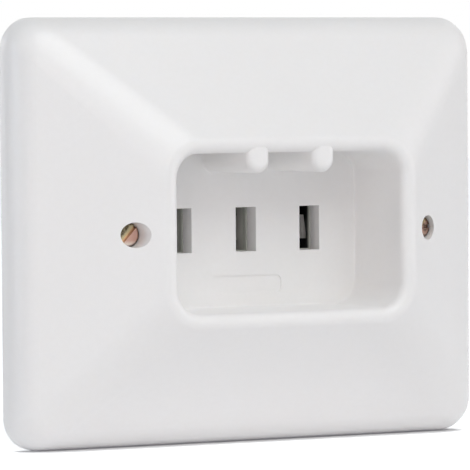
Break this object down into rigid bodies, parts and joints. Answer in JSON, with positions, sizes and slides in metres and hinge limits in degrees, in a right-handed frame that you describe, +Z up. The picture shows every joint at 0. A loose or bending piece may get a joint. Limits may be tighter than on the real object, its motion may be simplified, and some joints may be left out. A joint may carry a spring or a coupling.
{
  "type": "flush mounted socket",
  "caption": "Flush wall socket outlet: sloping cover round a deep keyed recess with slots for flat plug blades, steel mounting frame, and a contact block with screw terminals behind.",
  "frame": {"origin": "centre of the plate on the wall's surface, half-way between the two slotted box-screw holes", "axes": "+X to the right along the plate, +Y into the wall, +Z up; the front of the cover faces -Y"},
  "size_m": [0.12, 0.0555, 0.097],
  "materials": {
    "cover_plastic": "off-white thermoplastic, satin, faintly glossy",
    "base_plastic": "pale grey-green mineral-filled moulding",
    "plate_plastic": "grey mineral-filled moulding",
    "zinc_steel": "bright zinc-plated sheet",
    "spring_steel": "oiled spring steel",
    "contact_brass": "tin-plated rolled brass strip, dulled",
    "terminal_brass": "machined brass",
    "cover_screw_metal": "yellow-passivated, worn at the slot",
    "screw_steel": "zinc-plated screws"
  },
  "bodies": {
    "root": {"front_cover": "cover_plastic", "cover_screws": "cover_screw_metal", "mounting_frame": "zinc_steel", "contact_base": "base_plastic", "base_inserts": "terminal_brass", "base_screws": "screw_steel", "contact_left": "contact_brass", "contact_centre": "contact_brass", "contact_right": "contact_brass", "jaw_spring_left": "spring_steel", "jaw_spring_centre": "spring_steel", "jaw_spring_right": "spring_steel", "terminal_left": "terminal_brass", "terminal_centre": "terminal_brass", "terminal_right": "terminal_brass", "terminal_screws": "screw_steel", "back_plate": "plate_plastic", "back_plate_screws": "screw_steel", "earth_strap": "contact_brass", "earth_rivet": "terminal_brass", "earth_screw": "screw_steel"}
  },
  "joints": []
}
